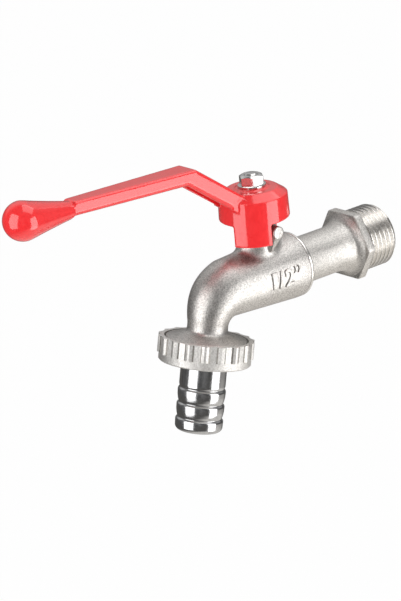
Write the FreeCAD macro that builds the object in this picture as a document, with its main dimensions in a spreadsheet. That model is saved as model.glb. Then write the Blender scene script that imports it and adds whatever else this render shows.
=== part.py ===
# Half inch lever ball bib tap with a hose union on its spout.
# The origin is the middle of the shoulder where the inlet thread starts.
# +X runs along the inlet towards the wall, -X is where the spout points, +Z is up the stem.

import FreeCAD, Part
import os
import Sketcher
from FreeCAD import Placement, Rotation, Vector

doc = FreeCAD.newDocument("bib_tap")
sheet = doc.addObject("Spreadsheet::Sheet", "Sizes")


# Driving dimensions, in millimetres and degrees

sizes = [
    # thread and running clearances
    ("run_gap", 0.05, "radial clearance of a running fit"),
    ("thread_gap", 0.08, "radial clearance of a thread drawn as a plain cylinder"),
    ("rest_gap", 0.25, "clearance between two stops or faces that part when the tap is used"),
    ("cut_past", 1.0, "how far a cut runs past the surface it opens"),
    # inlet side
    ("stem_distance", 40.0, "stem axis to the inlet shoulder"),
    ("inlet_thread_radius", 10.4775, "G1/2 thread, 20.955 over the crests"),
    ("inlet_thread_length", 11.5, "length of the inlet thread"),
    ("thread_chamfer", 0.9, "chamfer on the thread's free end"),
    ("inlet_hex_flats", 22.0, "spanner size of the inlet hexagon"),
    ("inlet_hex_thick", 3.0, "thickness of the inlet hexagon"),
    ("neck_radius", 7.75, "outside of the neck between body and hexagon"),
    ("neck_fillet", 1.8, "fillet where the neck runs into the hexagon"),
    ("inlet_bore_radius", 5.6, "waterway of the inlet connector"),
    ("joint_thread_radius", 9.0, "thread that joins connector and body"),
    ("joint_thread_start", 8.8, "stem axis to the start of that thread"),
    ("nose_gap", 0.25, "clearance round the connector's nose"),
    # ball, seats and chamber
    ("ball_radius", 8.0, "sealing ball"),
    ("port_radius", 5.0, "waterway of ball, seats and spout"),
    ("chamber_radius", 8.6, "ball chamber"),
    ("seat_radius", 7.4, "outside of a seat ring"),
    ("seat_front", 4.9, "ball centre to a seat's front face"),
    ("seat_back", 7.9, "ball centre to a seat's back face"),
    ("seat_stand", 0.7, "how far a seat stands out of its pocket"),
    ("slot_width", 3.2, "slot in the ball for the stem's tang"),
    ("slot_floor", 5.7, "ball centre to the floor of that slot"),
    # body casting
    ("body_radius", 10.9, "outside of the ball chamber at the inlet end"),
    ("body_end", 14.2, "stem axis to the body's inlet end"),
    ("rim_bevel", 0.6, "bevel round the body's inlet end"),
    ("taper_start", 10.8, "stem axis to where the body starts to narrow"),
    ("elbow_start", 14.7, "stem axis to the start of the elbow"),
    ("elbow_radius", 9.45, "outside of the body where the elbow starts"),
    ("elbow_crook", 2.0, "radius in the crook of the elbow"),
    ("spout_radius", 6.6, "outside of the spout"),
    ("spout_tilt", 13.2, "lean of the spout from straight down"),
    ("spout_run", 2.8, "straight stretch of spout below the elbow"),
    ("spout_wall", 1.8, "wall of the spout"),
    ("flare_blend", 1.6, "fillet at the foot of the flare"),
    # stem housing and stops
    ("boss_radius", 6.6, "stem housing on top of the body"),
    ("boss_stand", 0.15, "stem housing's top above the lug"),
    ("boss_fillet", 3.0, "fillet between housing and body"),
    ("lug_radius", 2.15, "round stop lug"),
    ("lug_height", 16.7, "height of the lug's axis"),
    ("lug_reach", 11.6, "stem axis to the lug's end face"),
    ("lug_web_inner", 6.0, "stem axis to where the web under the lug is buried in the housing"),
    ("lug_web_top", 15.2, "height where the web meets the lug"),
    ("lug_web_top_reach", 11.2, "stem axis to the web's face at that height"),
    ("lug_web_top_half", 1.7, "half the web's width at that height"),
    ("lug_web_foot", 9.5, "height where the web runs out"),
    ("lug_web_foot_reach", 7.4, "stem axis to the web's face at its foot"),
    ("lug_web_foot_half", 0.4, "half the web's width at its foot"),
    # stem and its seals
    ("stem_radius", 3.0, "stem shaft"),
    ("collar_radius", 4.9, "collar that holds the stem in the body"),
    ("collar_low", 8.35, "underside of the collar"),
    ("collar_thick", 1.9, "thickness of the collar"),
    ("thrust_thick", 0.8, "thickness of the thrust washer"),
    ("thrust_web", 1.4, "wall between thrust washer and packing"),
    ("packing_radius", 4.8, "outside of the packing and of the gland thread"),
    ("packing_height", 2.2, "height of the packing ring"),
    ("gland_flats", 11.0, "spanner size of the gland nut"),
    ("gland_head", 2.6, "thickness of the gland nut's head"),
    ("tang_width", 3.0, "stem's tang across the slot"),
    ("tang_length", 6.4, "stem's tang along the slot"),
    ("stem_shoulder", 24.0, "height of the shoulder that the lever sits on"),
    ("stem_flats", 4.2, "across the two flats that turn the lever"),
    ("stem_flat_radius", 2.8, "round sides of the flatted part"),
    ("stem_thread_radius", 2.0, "M4 thread for the lever's nut"),
    ("stem_end_stand", 0.4, "stem end above the lever's nut"),
    ("stem_point", 0.4, "bevel on the stem's threaded end"),
    # lever
    ("skirt_radius", 11.5, "outside of the lever's hub at its lower edge"),
    ("skirt_top_radius", 11.3, "outside of the hub under its bevel"),
    ("skirt_wall", 2.0, "wall of the hub"),
    ("skirt_low", 20.0, "height of the hub's lower edge"),
    ("skirt_high", 27.86, "height where the bevel starts"),
    ("hub_top", 30.06, "height of the hub's flat top"),
    ("hub_top_radius", 8.2, "flat top inside the bevel"),
    ("hub_roof", 2.8, "thickness of the hub's top"),
    ("pad_radius", 5.2, "raised pad under the washer"),
    ("pad_height", 0.4, "height of that pad"),
    ("socket_radius", 5.6, "boss round the stem inside the hub"),
    ("tab_low", 13.2, "height of the stop tabs' lower edge"),
    ("arm_wall", 1.4, "wall of the lever's arm"),
    ("arm_edge", 0.8, "rounding along the arm's top edges"),
    ("round_share", 0.3, "share of that rounding left over at its middle corner"),
    ("arm_root", 6.0, "stem axis to where the arm starts inside the hub"),
    ("arm_width", 9.8, "arm's width up to the bend"),
    ("arm_rise_start", 7.5, "stem axis to where the arm leaves the hub's top"),
    ("arm_rise_depth", 7.3, "upright depth of the rising stretch"),
    ("bend_out", 25.6, "stem axis to the bend on top of the arm"),
    ("bend_high", 43.5, "height of the bend on top of the arm"),
    ("arm_end", 73.4, "stem axis to the arm's outer end"),
    ("arm_end_width", 6.4, "arm's width at its outer end"),
    ("arm_depth", 4.8, "depth of the outer stretch"),
    ("arm_slope", 2.5, "rise of the outer stretch, in degrees"),
    ("knob_radius", 6.35, "ball at the lever's end"),
    ("knob_reach", 17.2, "arm's outer end to the ball's centre"),
    ("knob_neck", 3.5, "radius of the cone where it meets the arm"),
    # lever fasteners
    ("washer_radius", 4.6, "washer under the lever's nut"),
    ("washer_thick", 0.8, "thickness of that washer"),
    ("nut_flats", 7.2, "spanner size of the lever's nut"),
    ("nut_thick", 3.2, "thickness of the lever's nut"),
    ("nut_bevel_width", 1.0, "how far the nut's bevel reaches past its flats"),
    ("nut_bevel_height", 0.6, "height of that bevel"),
    # union: collar on the spout, gasket, hose tail and nut
    ("union_thread_radius", 13.22, "G3/4 thread, 26.44 over the crests"),
    ("flare_height", 2.0, "height of the cone that widens the spout to the collar"),
    ("collar_length", 3.8, "length of the union thread on the spout"),
    ("gasket_thick", 1.5, "union gasket"),
    ("gasket_gap", 1.0, "clearance round the gasket inside the union nut"),
    ("gasket_hole", 6.6, "hole in the gasket"),
    ("flange_thick", 1.2, "flange of the hose tail"),
    ("flange_gap", 0.8, "clearance round that flange inside the union nut"),
    ("lip_thick", 1.4, "lip of the union nut under the flange"),
    ("union_top_stand", 0.3, "union nut's top below the collar's upper edge"),
    ("union_wall", 1.65, "wall of the union nut below its ribs"),
    ("union_rib_height", 0.7, "how far the ribs stand out of it"),
    ("union_rib_length", 4.9, "length of the ribs"),
    ("union_rib_width", 3.1, "width of a rib at its foot"),
    ("union_rib_crest", 0.7, "width of the flat on top of a rib"),
    ("union_rib_root", 0.5, "depth of a rib's foot inside the nut"),
    ("union_rib_turn", 8.9, "turn of the first rib from the spout's own plane, in degrees"),
    ("union_rib_count", 18, "number of ribs"),
    ("union_mouth", 0.35, "bevel in the union nut's mouth"),
    ("union_edge", 0.4, "bevel round the union nut's lower edge"),
    ("tail_radius", 7.5, "plain stretch of the hose tail"),
    ("tail_bore_radius", 5.4, "waterway of the hose tail"),
    ("tail_length", 22.6, "hose tail below the union nut"),
    ("first_barb", 8.95, "union nut to the first barb's crest"),
    ("barb_pitch", 4.9, "spacing of the barbs"),
    ("barb_crest", 7.75, "radius of a barb's crest"),
    ("barb_root", 7.2, "radius between two barbs"),
    ("barb_step", 1.1, "length of a barb's steep side"),
    ("land_radius", 7.65, "land at the end of the hose tail"),
    ("tail_rounding", 1.6, "rounding of the hose tail's end"),
]

for row, (alias, value, meaning) in enumerate(sizes, start=1):
    sheet.set(f"A{row}", meaning)
    sheet.set(f"B{row}", str(value))
    sheet.setAlias(f"B{row}", alias)
doc.recompute()

# Expressions that several pieces share, written with the sheet's names

collar_high = "(Sizes.collar_low + Sizes.collar_thick)"
thrust_top = f"({collar_high} + Sizes.thrust_thick + Sizes.run_gap)"
packing_floor = f"({thrust_top} + Sizes.thrust_web)"
packing_top = f"({packing_floor} + Sizes.packing_height)"
boss_top = "(Sizes.lug_height + Sizes.lug_radius + Sizes.boss_stand)"
gland_top = f"({boss_top} + Sizes.gland_head)"
pocket_face = "(Sizes.seat_front + Sizes.seat_stand)"
neck_start = "(Sizes.body_end + Sizes.joint_thread_radius - Sizes.neck_radius)"
hex_face = "(Sizes.stem_distance - Sizes.inlet_hex_thick)"
thread_end = "(Sizes.stem_distance + Sizes.inlet_thread_length)"

crook_low = "(Sizes.elbow_radius + Sizes.elbow_crook)"
spout_offset = (
    "(((Sizes.spout_radius + Sizes.elbow_crook) - "
    f"{crook_low} * sin(Sizes.spout_tilt * 1 deg)) / cos(Sizes.spout_tilt * 1 deg))"
)
spout_x = f"(Sizes.elbow_start + {spout_offset})"
elbow_end = (
    f"({crook_low} * cos(Sizes.spout_tilt * 1 deg) - "
    f"{spout_offset} * sin(Sizes.spout_tilt * 1 deg))"
)
flare_top = f"({elbow_end} + Sizes.spout_run)"
collar_top = f"({flare_top} + Sizes.flare_height)"
collar_low_face = f"({collar_top} + Sizes.collar_length)"
gasket_low_face = f"({collar_low_face} + Sizes.gasket_thick)"
flange_low_face = f"({gasket_low_face} + Sizes.flange_thick)"
union_top = f"({collar_top} + Sizes.union_top_stand)"
union_low = f"({flange_low_face} + Sizes.lip_thick)"
tail_low = f"({union_low} + Sizes.tail_length)"
first_crest = f"({union_low} + Sizes.first_barb)"

union_hole = "(Sizes.union_thread_radius + Sizes.thread_gap)"
gasket_radius = f"({union_hole} - Sizes.gasket_gap)"
flange_radius = f"({union_hole} - Sizes.flange_gap)"
union_band = f"({union_hole} + Sizes.union_wall)"
union_crest = f"({union_band} + Sizes.union_rib_height)"

washer_low = "(Sizes.hub_top + Sizes.pad_height)"
washer_top = f"({washer_low} + Sizes.washer_thick)"
nut_top = f"({washer_top} + Sizes.nut_thick)"
stem_end = f"({nut_top} + Sizes.stem_end_stand)"


def placed_body(label, at_spout=False):
    """A body in the frame of the ball's centre, or in the frame of the spout's axis."""
    body = doc.addObject("PartDesign::Body", label)
    body.Label = label
    body.Placement = Placement(Vector(0, 0, 0), Rotation(Vector(0, 1, 0), 1))
    if at_spout:
        body.setExpression("Placement.Base.x", f"-(Sizes.stem_distance + {spout_x}) * 1 mm")
        body.setExpression("Placement.Rotation.Angle", "Sizes.spout_tilt * 1 deg")
    else:
        body.Placement = Placement()
        body.setExpression("Placement.Base.x", "-Sizes.stem_distance * 1 mm")
    return body


def origin_feature(body, role):
    for feature in body.Origin.OriginFeatures:
        if feature.Role == role:
            return feature
    raise ValueError(role)


def new_sketch(body, name, plane):
    sketch = body.newObject("Sketcher::SketchObject", name)
    sketch.AttachmentSupport = [(origin_feature(body, plane), "")]
    sketch.MapMode = "FlatFace"
    return sketch


def number(expression):
    """The value that an expression has now, as a plain number."""
    value = sheet.evalExpression(expression.replace("Sizes.", ""))
    return float(getattr(value, "Value", value))


def bind(sketch, kind, places, expression):
    index = sketch.addConstraint(Sketcher.Constraint(kind, *places, number(expression)))
    sketch.setExpression(f"Constraints[{index}]", expression)


def draw_outline(sketch, corners):
    """A closed outline of straight lines, each corner held by two sizes."""
    points = [Vector(number(across), number(up), 0) for across, up in corners]
    first = sketch.GeometryCount
    for index, point in enumerate(points):
        following = points[(index + 1) % len(points)]
        sketch.addGeometry(Part.LineSegment(point, following), False)
    for index in range(len(points)):
        after = (index + 1) % len(points)
        sketch.addConstraint(Sketcher.Constraint("Coincident", first + index, 2, first + after, 1))
    for index, (across, up) in enumerate(corners):
        bind(sketch, "DistanceX", (-1, 1, first + index, 1), across)
        bind(sketch, "DistanceY", (-1, 1, first + index, 1), up)


def draw_circle(sketch, radius, across="0", up="0"):
    centre = Vector(number(across), number(up), 0)
    index = sketch.addGeometry(Part.Circle(centre, Vector(0, 0, 1), number(radius)), False)
    bind(sketch, "Radius", (index,), radius)
    bind(sketch, "DistanceX", (-1, 1, index, 3), across)
    bind(sketch, "DistanceY", (-1, 1, index, 3), up)


def draw_hexagon(sketch, flats, turned):
    """A hexagon by its spanner size, with a corner on the first axis or, turned, on the second."""
    corners = []
    for step in range(6):
        angle = f"({step} * 60 + {30 if turned else 0}) * 1 deg"
        reach = f"({flats} / 2 / cos(30 deg))"
        corners.append((f"{reach} * cos({angle})", f"{reach} * sin({angle})"))
    draw_outline(sketch, corners)


def turned_part(body, name, kind, axis, corners, plane="XZ_Plane"):
    """Turns an outline about an axis, as a new solid (Revolution) or a cut (Groove)."""
    sketch = new_sketch(body, f"{name}_outline", plane)
    draw_outline(sketch, corners)
    feature = body.newObject(f"PartDesign::{kind}", name)
    feature.Profile = sketch
    feature.ReferenceAxis = (origin_feature(body, axis), [""])
    feature.Angle = 360
    doc.recompute()
    return feature


def pad(body, name, sketch, length, both_ways=False, kind="Pad", reverse=False):
    feature = body.newObject(f"PartDesign::{kind}", name)
    feature.Profile = sketch
    feature.setExpression("Length", length)
    feature.Midplane = both_ways
    feature.Reversed = reverse
    doc.recompute()
    return feature


def lifted_sketch(body, name, plane, lift):
    sketch = new_sketch(body, name, plane)
    sketch.setExpression("AttachmentOffset.Base.z", f"({lift}) * 1 mm")
    doc.recompute()
    return sketch


def edges_where(feature, test):
    names = []
    for index, edge in enumerate(feature.Shape.Edges, start=1):
        if test(edge):
            names.append(f"Edge{index}")
    if not names:
        raise ValueError(f"no edge found on {feature.Label}")
    return names


def dress(body, name, kind, base, edges, size):
    """A fillet or chamfer on some edges of a feature."""
    feature = body.newObject(f"PartDesign::{kind}", name)
    feature.Base = (base, edges)
    feature.setExpression("Radius" if kind == "Fillet" else "Size", size)
    doc.recompute()
    return feature


def near(value, wanted, margin=0.02):
    return abs(value - wanted) < margin


# Body: chamber, elbow, spout and stem housing in one casting

body = placed_body("body")

chamber_shell = turned_part(body, "chamber_shell", "Revolution", "X_Axis", [
    ("-Sizes.elbow_start", "0"),
    ("Sizes.body_end", "0"),
    ("Sizes.body_end", "Sizes.body_radius - Sizes.rim_bevel"),
    ("Sizes.body_end - Sizes.rim_bevel", "Sizes.body_radius"),
    ("Sizes.taper_start", "Sizes.body_radius"),
    ("-Sizes.elbow_start", "Sizes.elbow_radius"),
])

elbow_steps = 2


def elbow_sections(prefix, wall):
    """Rings fanned about the crook of the elbow, each a little smaller than the last."""
    rings = []
    for step in range(elbow_steps + 1):
        share = f"{step} / {elbow_steps}"
        turn = f"((90 - Sizes.spout_tilt) * {share} * 1 deg)"
        outer = f"(Sizes.elbow_radius + (Sizes.spout_radius - Sizes.elbow_radius) * {share})"
        reach = f"({outer} + Sizes.elbow_crook)"
        ring = new_sketch(body, f"{prefix}_{step}", "YZ_Plane")
        ring.AttachmentOffset = Placement(Vector(0, 0, 0), Rotation(Vector(-1, 0, 0), 1))
        ring.setExpression("AttachmentOffset.Rotation.Angle", turn)
        ring.setExpression("AttachmentOffset.Base.y", f"({reach} * cos({turn}) - {crook_low}) * 1 mm")
        ring.setExpression(
            "AttachmentOffset.Base.z", f"-(Sizes.elbow_start + {reach} * sin({turn})) * 1 mm")
        if wall:
            inner_end = "(Sizes.spout_radius - Sizes.spout_wall)"
            draw_circle(ring, f"Sizes.port_radius + ({inner_end} - Sizes.port_radius) * {share}")
        else:
            draw_circle(ring, outer)
        rings.append(ring)
    doc.recompute()
    return rings


elbow_rings = elbow_sections("elbow_ring", wall=False)
elbow = body.newObject("PartDesign::AdditiveLoft", "elbow")
elbow.Profile = elbow_rings[0]
elbow.Sections = elbow_rings[1:]
doc.recompute()


def spout_sketch(name, corners):
    """An outline beside the leaning spout axis, which is the sketch's upright axis."""
    sketch = new_sketch(body, name, "XZ_Plane")
    sketch.AttachmentOffset = Placement(Vector(0, 0, 0), Rotation(Vector(0, 0, -1), 1))
    sketch.setExpression("AttachmentOffset.Rotation.Angle", "Sizes.spout_tilt * 1 deg")
    sketch.setExpression("AttachmentOffset.Base.x", f"-{spout_x} * 1 mm")
    draw_outline(sketch, corners)
    return sketch


def spout_turned(name, kind, corners):
    feature = body.newObject(f"PartDesign::{kind}", name)
    feature.Profile = spout_sketch(f"{name}_outline", corners)
    feature.ReferenceAxis = (feature.Profile[0], ["V_Axis"])
    feature.Angle = 360
    doc.recompute()
    return feature


spout = spout_turned("spout", "Revolution", [
    ("0", f"-{elbow_end}"),
    ("Sizes.spout_radius", f"-{elbow_end}"),
    ("Sizes.spout_radius", f"-{flare_top}"),
    ("Sizes.union_thread_radius", f"-{collar_top}"),
    ("Sizes.union_thread_radius", f"-({collar_low_face} - Sizes.thread_chamfer)"),
    ("Sizes.union_thread_radius - Sizes.thread_chamfer", f"-{collar_low_face}"),
    ("0", f"-{collar_low_face}"),
])


def flare_foot(edge):
    """Whether an edge is the one where the spout widens to the flare."""
    if not isinstance(edge.Curve, Part.Circle):
        return False
    below_elbow = edge.Curve.Center.z < -number(elbow_end)
    return below_elbow and near(edge.Curve.Radius, number("Sizes.spout_radius"))


dress(body, "flare_root", "Fillet", spout, edges_where(spout, flare_foot), "Sizes.flare_blend")

boss_sketch = new_sketch(body, "boss_outline", "XY_Plane")
draw_circle(boss_sketch, "Sizes.boss_radius")
boss = pad(body, "boss", boss_sketch, boss_top)

root_edges = edges_where(boss, lambda edge: (
    isinstance(edge.Curve, Part.BSplineCurve)
    and edge.BoundBox.XMin > -number("Sizes.boss_radius + Sizes.run_gap")
    and edge.BoundBox.ZMin > number("Sizes.body_radius / 2")
    and edge.BoundBox.ZMax < number(boss_top)))
boss_root = dress(body, "boss_root", "Fillet", boss, root_edges, "Sizes.boss_fillet")

lug_sketch = new_sketch(body, "lug_outline", "XZ_Plane")
draw_circle(lug_sketch, "Sizes.lug_radius", up="Sizes.lug_height")
pad(body, "lug", lug_sketch, "Sizes.lug_reach")


def web_section(name, height, reach, half):
    section = lifted_sketch(body, name, "XY_Plane", height)
    draw_outline(section, [
        (f"-{half}", f"-{reach}"),
        (half, f"-{reach}"),
        (half, "-Sizes.lug_web_inner"),
        (f"-{half}", "-Sizes.lug_web_inner"),
    ])
    return section


web_top = web_section(
    "web_top", "Sizes.lug_web_top", "Sizes.lug_web_top_reach", "Sizes.lug_web_top_half")
web_foot = web_section(
    "web_foot", "Sizes.lug_web_foot", "Sizes.lug_web_foot_reach", "Sizes.lug_web_foot_half")
lug_web = body.newObject("PartDesign::AdditiveLoft", "lug_web")
lug_web.Profile = web_top
lug_web.Sections = [web_foot]
lug_web.Ruled = True
doc.recompute()

chamber_bore = turned_part(body, "chamber_bore", "Groove", "X_Axis", [
    ("-Sizes.elbow_start", "0"),
    ("-Sizes.elbow_start", "Sizes.port_radius"),
    ("-Sizes.seat_back", "Sizes.port_radius"),
    ("-Sizes.seat_back", "Sizes.seat_radius"),
    (f"-{pocket_face}", "Sizes.seat_radius"),
    (f"-{pocket_face}", "Sizes.chamber_radius"),
    ("Sizes.joint_thread_start", "Sizes.chamber_radius"),
    ("Sizes.joint_thread_start", "Sizes.joint_thread_radius"),
    ("Sizes.body_end", "Sizes.joint_thread_radius"),
    ("Sizes.body_end", "0"),
])

water_rings = elbow_sections("water_ring", wall=True)
water_bend = body.newObject("PartDesign::SubtractiveLoft", "water_bend")
water_bend.Profile = water_rings[0]
water_bend.Sections = water_rings[1:]
doc.recompute()

spout_bore = spout_turned("spout_bore", "Groove", [
    ("0", f"-{elbow_end}"),
    ("Sizes.spout_radius - Sizes.spout_wall", f"-{elbow_end}"),
    ("Sizes.spout_radius - Sizes.spout_wall", f"-{collar_low_face}"),
    ("0", f"-{collar_low_face}"),
])

stem_bore = turned_part(body, "stem_bore", "Groove", "Z_Axis", [
    ("0", "Sizes.slot_floor"),
    ("Sizes.collar_radius + Sizes.run_gap", "Sizes.slot_floor"),
    ("Sizes.collar_radius + Sizes.run_gap", thrust_top),
    ("Sizes.stem_radius + Sizes.run_gap", thrust_top),
    ("Sizes.stem_radius + Sizes.run_gap", packing_floor),
    ("Sizes.packing_radius", packing_floor),
    ("Sizes.packing_radius", boss_top),
    ("0", boss_top),
])
body.Tip = stem_bore


# Inlet connector: nose, joint thread, neck, hexagon and inlet thread

inlet_connector = placed_body("inlet_connector")

connector_core = turned_part(inlet_connector, "connector_core", "Revolution", "X_Axis", [
    (pocket_face, "0"),
    (pocket_face, "Sizes.chamber_radius - Sizes.nose_gap"),
    ("Sizes.joint_thread_start", "Sizes.chamber_radius - Sizes.nose_gap"),
    ("Sizes.joint_thread_start", "Sizes.joint_thread_radius"),
    ("Sizes.body_end", "Sizes.joint_thread_radius"),
    (neck_start, "Sizes.neck_radius"),
    (hex_face, "Sizes.neck_radius"),
    ("Sizes.stem_distance", "Sizes.neck_radius"),
    ("Sizes.stem_distance", "Sizes.inlet_thread_radius"),
    (f"{thread_end} - Sizes.thread_chamfer", "Sizes.inlet_thread_radius"),
    (thread_end, "Sizes.inlet_thread_radius - Sizes.thread_chamfer"),
    (thread_end, "0"),
])

hex_sketch = lifted_sketch(inlet_connector, "inlet_hex_outline", "YZ_Plane", hex_face)
draw_hexagon(hex_sketch, "Sizes.inlet_hex_flats", turned=True)
inlet_hex = pad(inlet_connector, "inlet_hex", hex_sketch, "Sizes.inlet_hex_thick")

neck_edges = edges_where(inlet_hex, lambda edge: (
    near(edge.BoundBox.XMax, number(hex_face))
    and near(edge.BoundBox.XMin, number(hex_face))
    and near(edge.BoundBox.ZMax, number("Sizes.neck_radius"))))
neck_root = dress(inlet_connector, "neck_root", "Fillet", inlet_hex, neck_edges, "Sizes.neck_fillet")

connector_bore = turned_part(inlet_connector, "connector_bore", "Groove", "X_Axis", [
    (pocket_face, "0"),
    (pocket_face, "Sizes.seat_radius"),
    ("Sizes.seat_back", "Sizes.seat_radius"),
    ("Sizes.seat_back", "Sizes.inlet_bore_radius"),
    (thread_end, "Sizes.inlet_bore_radius"),
    (thread_end, "0"),
])
inlet_connector.Tip = connector_bore


# Seats: two rings with a face that follows the ball

def seat(label, side):
    ring = placed_body(label)
    turned_part(ring, f"{label}_ring", "Revolution", "X_Axis", [
        (f"{side} * Sizes.seat_front", "Sizes.port_radius"),
        (f"{side} * Sizes.seat_back", "Sizes.port_radius"),
        (f"{side} * Sizes.seat_back", "Sizes.seat_radius"),
        (f"{side} * Sizes.seat_front", "Sizes.seat_radius"),
    ])
    cup = ring.newObject("PartDesign::SubtractiveSphere", f"{label}_cup")
    cup.setExpression("Radius", "Sizes.ball_radius + Sizes.run_gap")
    doc.recompute()
    return ring


inlet_seat = seat("inlet_seat", "1")
outlet_seat = seat("outlet_seat", "-1")


# Ball: a sphere with its port and the slot that the stem turns

ball = placed_body("ball")
sphere = ball.newObject("PartDesign::AdditiveSphere", "ball_sphere")
sphere.setExpression("Radius", "Sizes.ball_radius")
doc.recompute()

port_sketch = new_sketch(ball, "port_outline", "YZ_Plane")
draw_circle(port_sketch, "Sizes.port_radius")
port = pad(ball, "port", port_sketch, "2 * Sizes.ball_radius", both_ways=True, kind="Pocket")

slot_sketch = new_sketch(ball, "slot_outline", "XZ_Plane")
draw_outline(slot_sketch, [
    ("-Sizes.slot_width / 2", "Sizes.slot_floor"),
    ("Sizes.slot_width / 2", "Sizes.slot_floor"),
    ("Sizes.slot_width / 2", "Sizes.ball_radius + Sizes.cut_past"),
    ("-Sizes.slot_width / 2", "Sizes.ball_radius + Sizes.cut_past"),
])
slot = pad(ball, "slot", slot_sketch, "2 * Sizes.ball_radius", both_ways=True, kind="Pocket")
ball.Tip = slot


# Stem: tang, collar, shaft, two flats and a thread for the lever's nut

stem = placed_body("stem")
stem_core = turned_part(stem, "stem_core", "Revolution", "Z_Axis", [
    ("0", "Sizes.collar_low"),
    ("Sizes.collar_radius", "Sizes.collar_low"),
    ("Sizes.collar_radius", collar_high),
    ("Sizes.stem_radius", collar_high),
    ("Sizes.stem_radius", "Sizes.stem_shoulder"),
    ("Sizes.stem_flat_radius", "Sizes.stem_shoulder"),
    ("Sizes.stem_flat_radius", f"{washer_low} - Sizes.rest_gap"),
    ("Sizes.stem_thread_radius", f"{washer_low} - Sizes.rest_gap"),
    ("Sizes.stem_thread_radius", f"{stem_end} - Sizes.stem_point"),
    ("Sizes.stem_thread_radius - Sizes.stem_point", stem_end),
    ("0", stem_end),
])

tang_sketch = lifted_sketch(stem, "tang_outline", "XY_Plane", "Sizes.slot_floor + Sizes.run_gap")
draw_outline(tang_sketch, [
    ("-Sizes.tang_width / 2", "-Sizes.tang_length / 2"),
    ("Sizes.tang_width / 2", "-Sizes.tang_length / 2"),
    ("Sizes.tang_width / 2", "Sizes.tang_length / 2"),
    ("-Sizes.tang_width / 2", "Sizes.tang_length / 2"),
])
tang = pad(stem, "tang", tang_sketch, "Sizes.collar_low - Sizes.slot_floor")

flats_sketch = lifted_sketch(stem, "flats_outline", "XY_Plane", "Sizes.stem_shoulder")
flats_outside = "(Sizes.stem_flat_radius + Sizes.cut_past)"
for side in ("-1", "1"):
    draw_outline(flats_sketch, [
        (f"{side} * Sizes.stem_flats / 2", f"-{flats_outside}"),
        (f"{side} * {flats_outside}", f"-{flats_outside}"),
        (f"{side} * {flats_outside}", flats_outside),
        (f"{side} * Sizes.stem_flats / 2", flats_outside),
    ])
grip_height = f"{washer_low} - Sizes.stem_shoulder"
stem_flats = pad(stem, "stem_flats_cut", flats_sketch, grip_height, kind="Pocket", reverse=True)
stem.Tip = stem_flats


# Seals and gland round the stem

def ring_part(label, inner, outer, low, high):
    ring = placed_body(label)
    turned_part(ring, f"{label}_ring", "Revolution", "Z_Axis", [
        (inner, low),
        (outer, low),
        (outer, high),
        (inner, high),
    ])
    return ring


stem_hole = "Sizes.stem_radius + Sizes.run_gap"
thrust_low = f"{collar_high} + Sizes.run_gap"
thrust_washer = ring_part("thrust_washer", stem_hole, "Sizes.collar_radius", thrust_low, thrust_top)
stem_packing = ring_part(
    "stem_packing", stem_hole, "Sizes.packing_radius", packing_floor, packing_top)

gland_nut = placed_body("gland_nut")
gland_plug = turned_part(gland_nut, "gland_plug", "Revolution", "Z_Axis", [
    ("0", packing_top),
    ("Sizes.packing_radius", packing_top),
    ("Sizes.packing_radius", boss_top),
    ("0", boss_top),
])
gland_sketch = lifted_sketch(gland_nut, "gland_head_outline", "XY_Plane", boss_top)
draw_hexagon(gland_sketch, "Sizes.gland_flats", turned=False)
pad(gland_nut, "gland_head", gland_sketch, "Sizes.gland_head")
gland_hole = "Sizes.stem_radius + 2 * Sizes.run_gap"
gland_bore = turned_part(gland_nut, "gland_bore", "Groove", "Z_Axis", [
    ("0", packing_top),
    (gland_hole, packing_top),
    (gland_hole, gland_top),
    ("0", gland_top),
])
gland_nut.Tip = gland_bore


# Lever: hub with skirt and two stop tabs, channel arm and ball end, cast in one

lever = placed_body("lever")
hub = turned_part(lever, "hub", "Revolution", "Z_Axis", [
    ("0", "Sizes.stem_shoulder"),
    ("Sizes.socket_radius", "Sizes.stem_shoulder"),
    ("Sizes.socket_radius", "Sizes.hub_top - Sizes.hub_roof"),
    ("Sizes.skirt_radius - Sizes.skirt_wall", "Sizes.hub_top - Sizes.hub_roof"),
    ("Sizes.skirt_radius - Sizes.skirt_wall", "Sizes.skirt_low"),
    ("Sizes.skirt_radius", "Sizes.skirt_low"),
    ("Sizes.skirt_top_radius", "Sizes.skirt_high"),
    ("Sizes.hub_top_radius", "Sizes.hub_top"),
    ("Sizes.pad_radius + Sizes.pad_height", "Sizes.hub_top"),
    ("Sizes.pad_radius", washer_low),
    ("0", washer_low),
])

tab_edge = "(Sizes.lug_radius + Sizes.rest_gap)"
tab_inner = "(Sizes.skirt_radius - Sizes.skirt_wall)"
tab_outer = "Sizes.skirt_radius"


def along(radius):
    """The far coordinate of a point on a circle whose near coordinate is the tab's edge."""
    return f"sqrt({radius} * {radius} - {tab_edge} * {tab_edge})"


tab_sketch = lifted_sketch(lever, "tab_outline", "XY_Plane", "Sizes.skirt_low")
tab_points = [
    ("-" + along(tab_outer), f"-{tab_edge}"),
    (f"-{tab_edge}", "-" + along(tab_outer)),
    (f"-{tab_edge}", "-" + along(tab_inner)),
    ("-" + along(tab_inner), f"-{tab_edge}"),
]
corner = [Vector(number(across), number(up), 0) for across, up in tab_points]
middle_direction = Vector(-1, -1, 0).normalize()
tab_sketch.addGeometry(
    Part.Arc(corner[0], middle_direction * number(tab_outer), corner[1]), False)
tab_sketch.addGeometry(Part.LineSegment(corner[1], corner[2]), False)
tab_sketch.addGeometry(
    Part.Arc(corner[3], middle_direction * number(tab_inner), corner[2]), False)
tab_sketch.addGeometry(Part.LineSegment(corner[3], corner[0]), False)
outer_arc, right_line, inner_arc, left_line = range(4)
tab_sketch.addConstraint(Sketcher.Constraint("Coincident", outer_arc, 3, -1, 1))
tab_sketch.addConstraint(Sketcher.Constraint("Coincident", inner_arc, 3, -1, 1))
tab_sketch.addConstraint(Sketcher.Constraint("Coincident", outer_arc, 2, right_line, 1))
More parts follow.
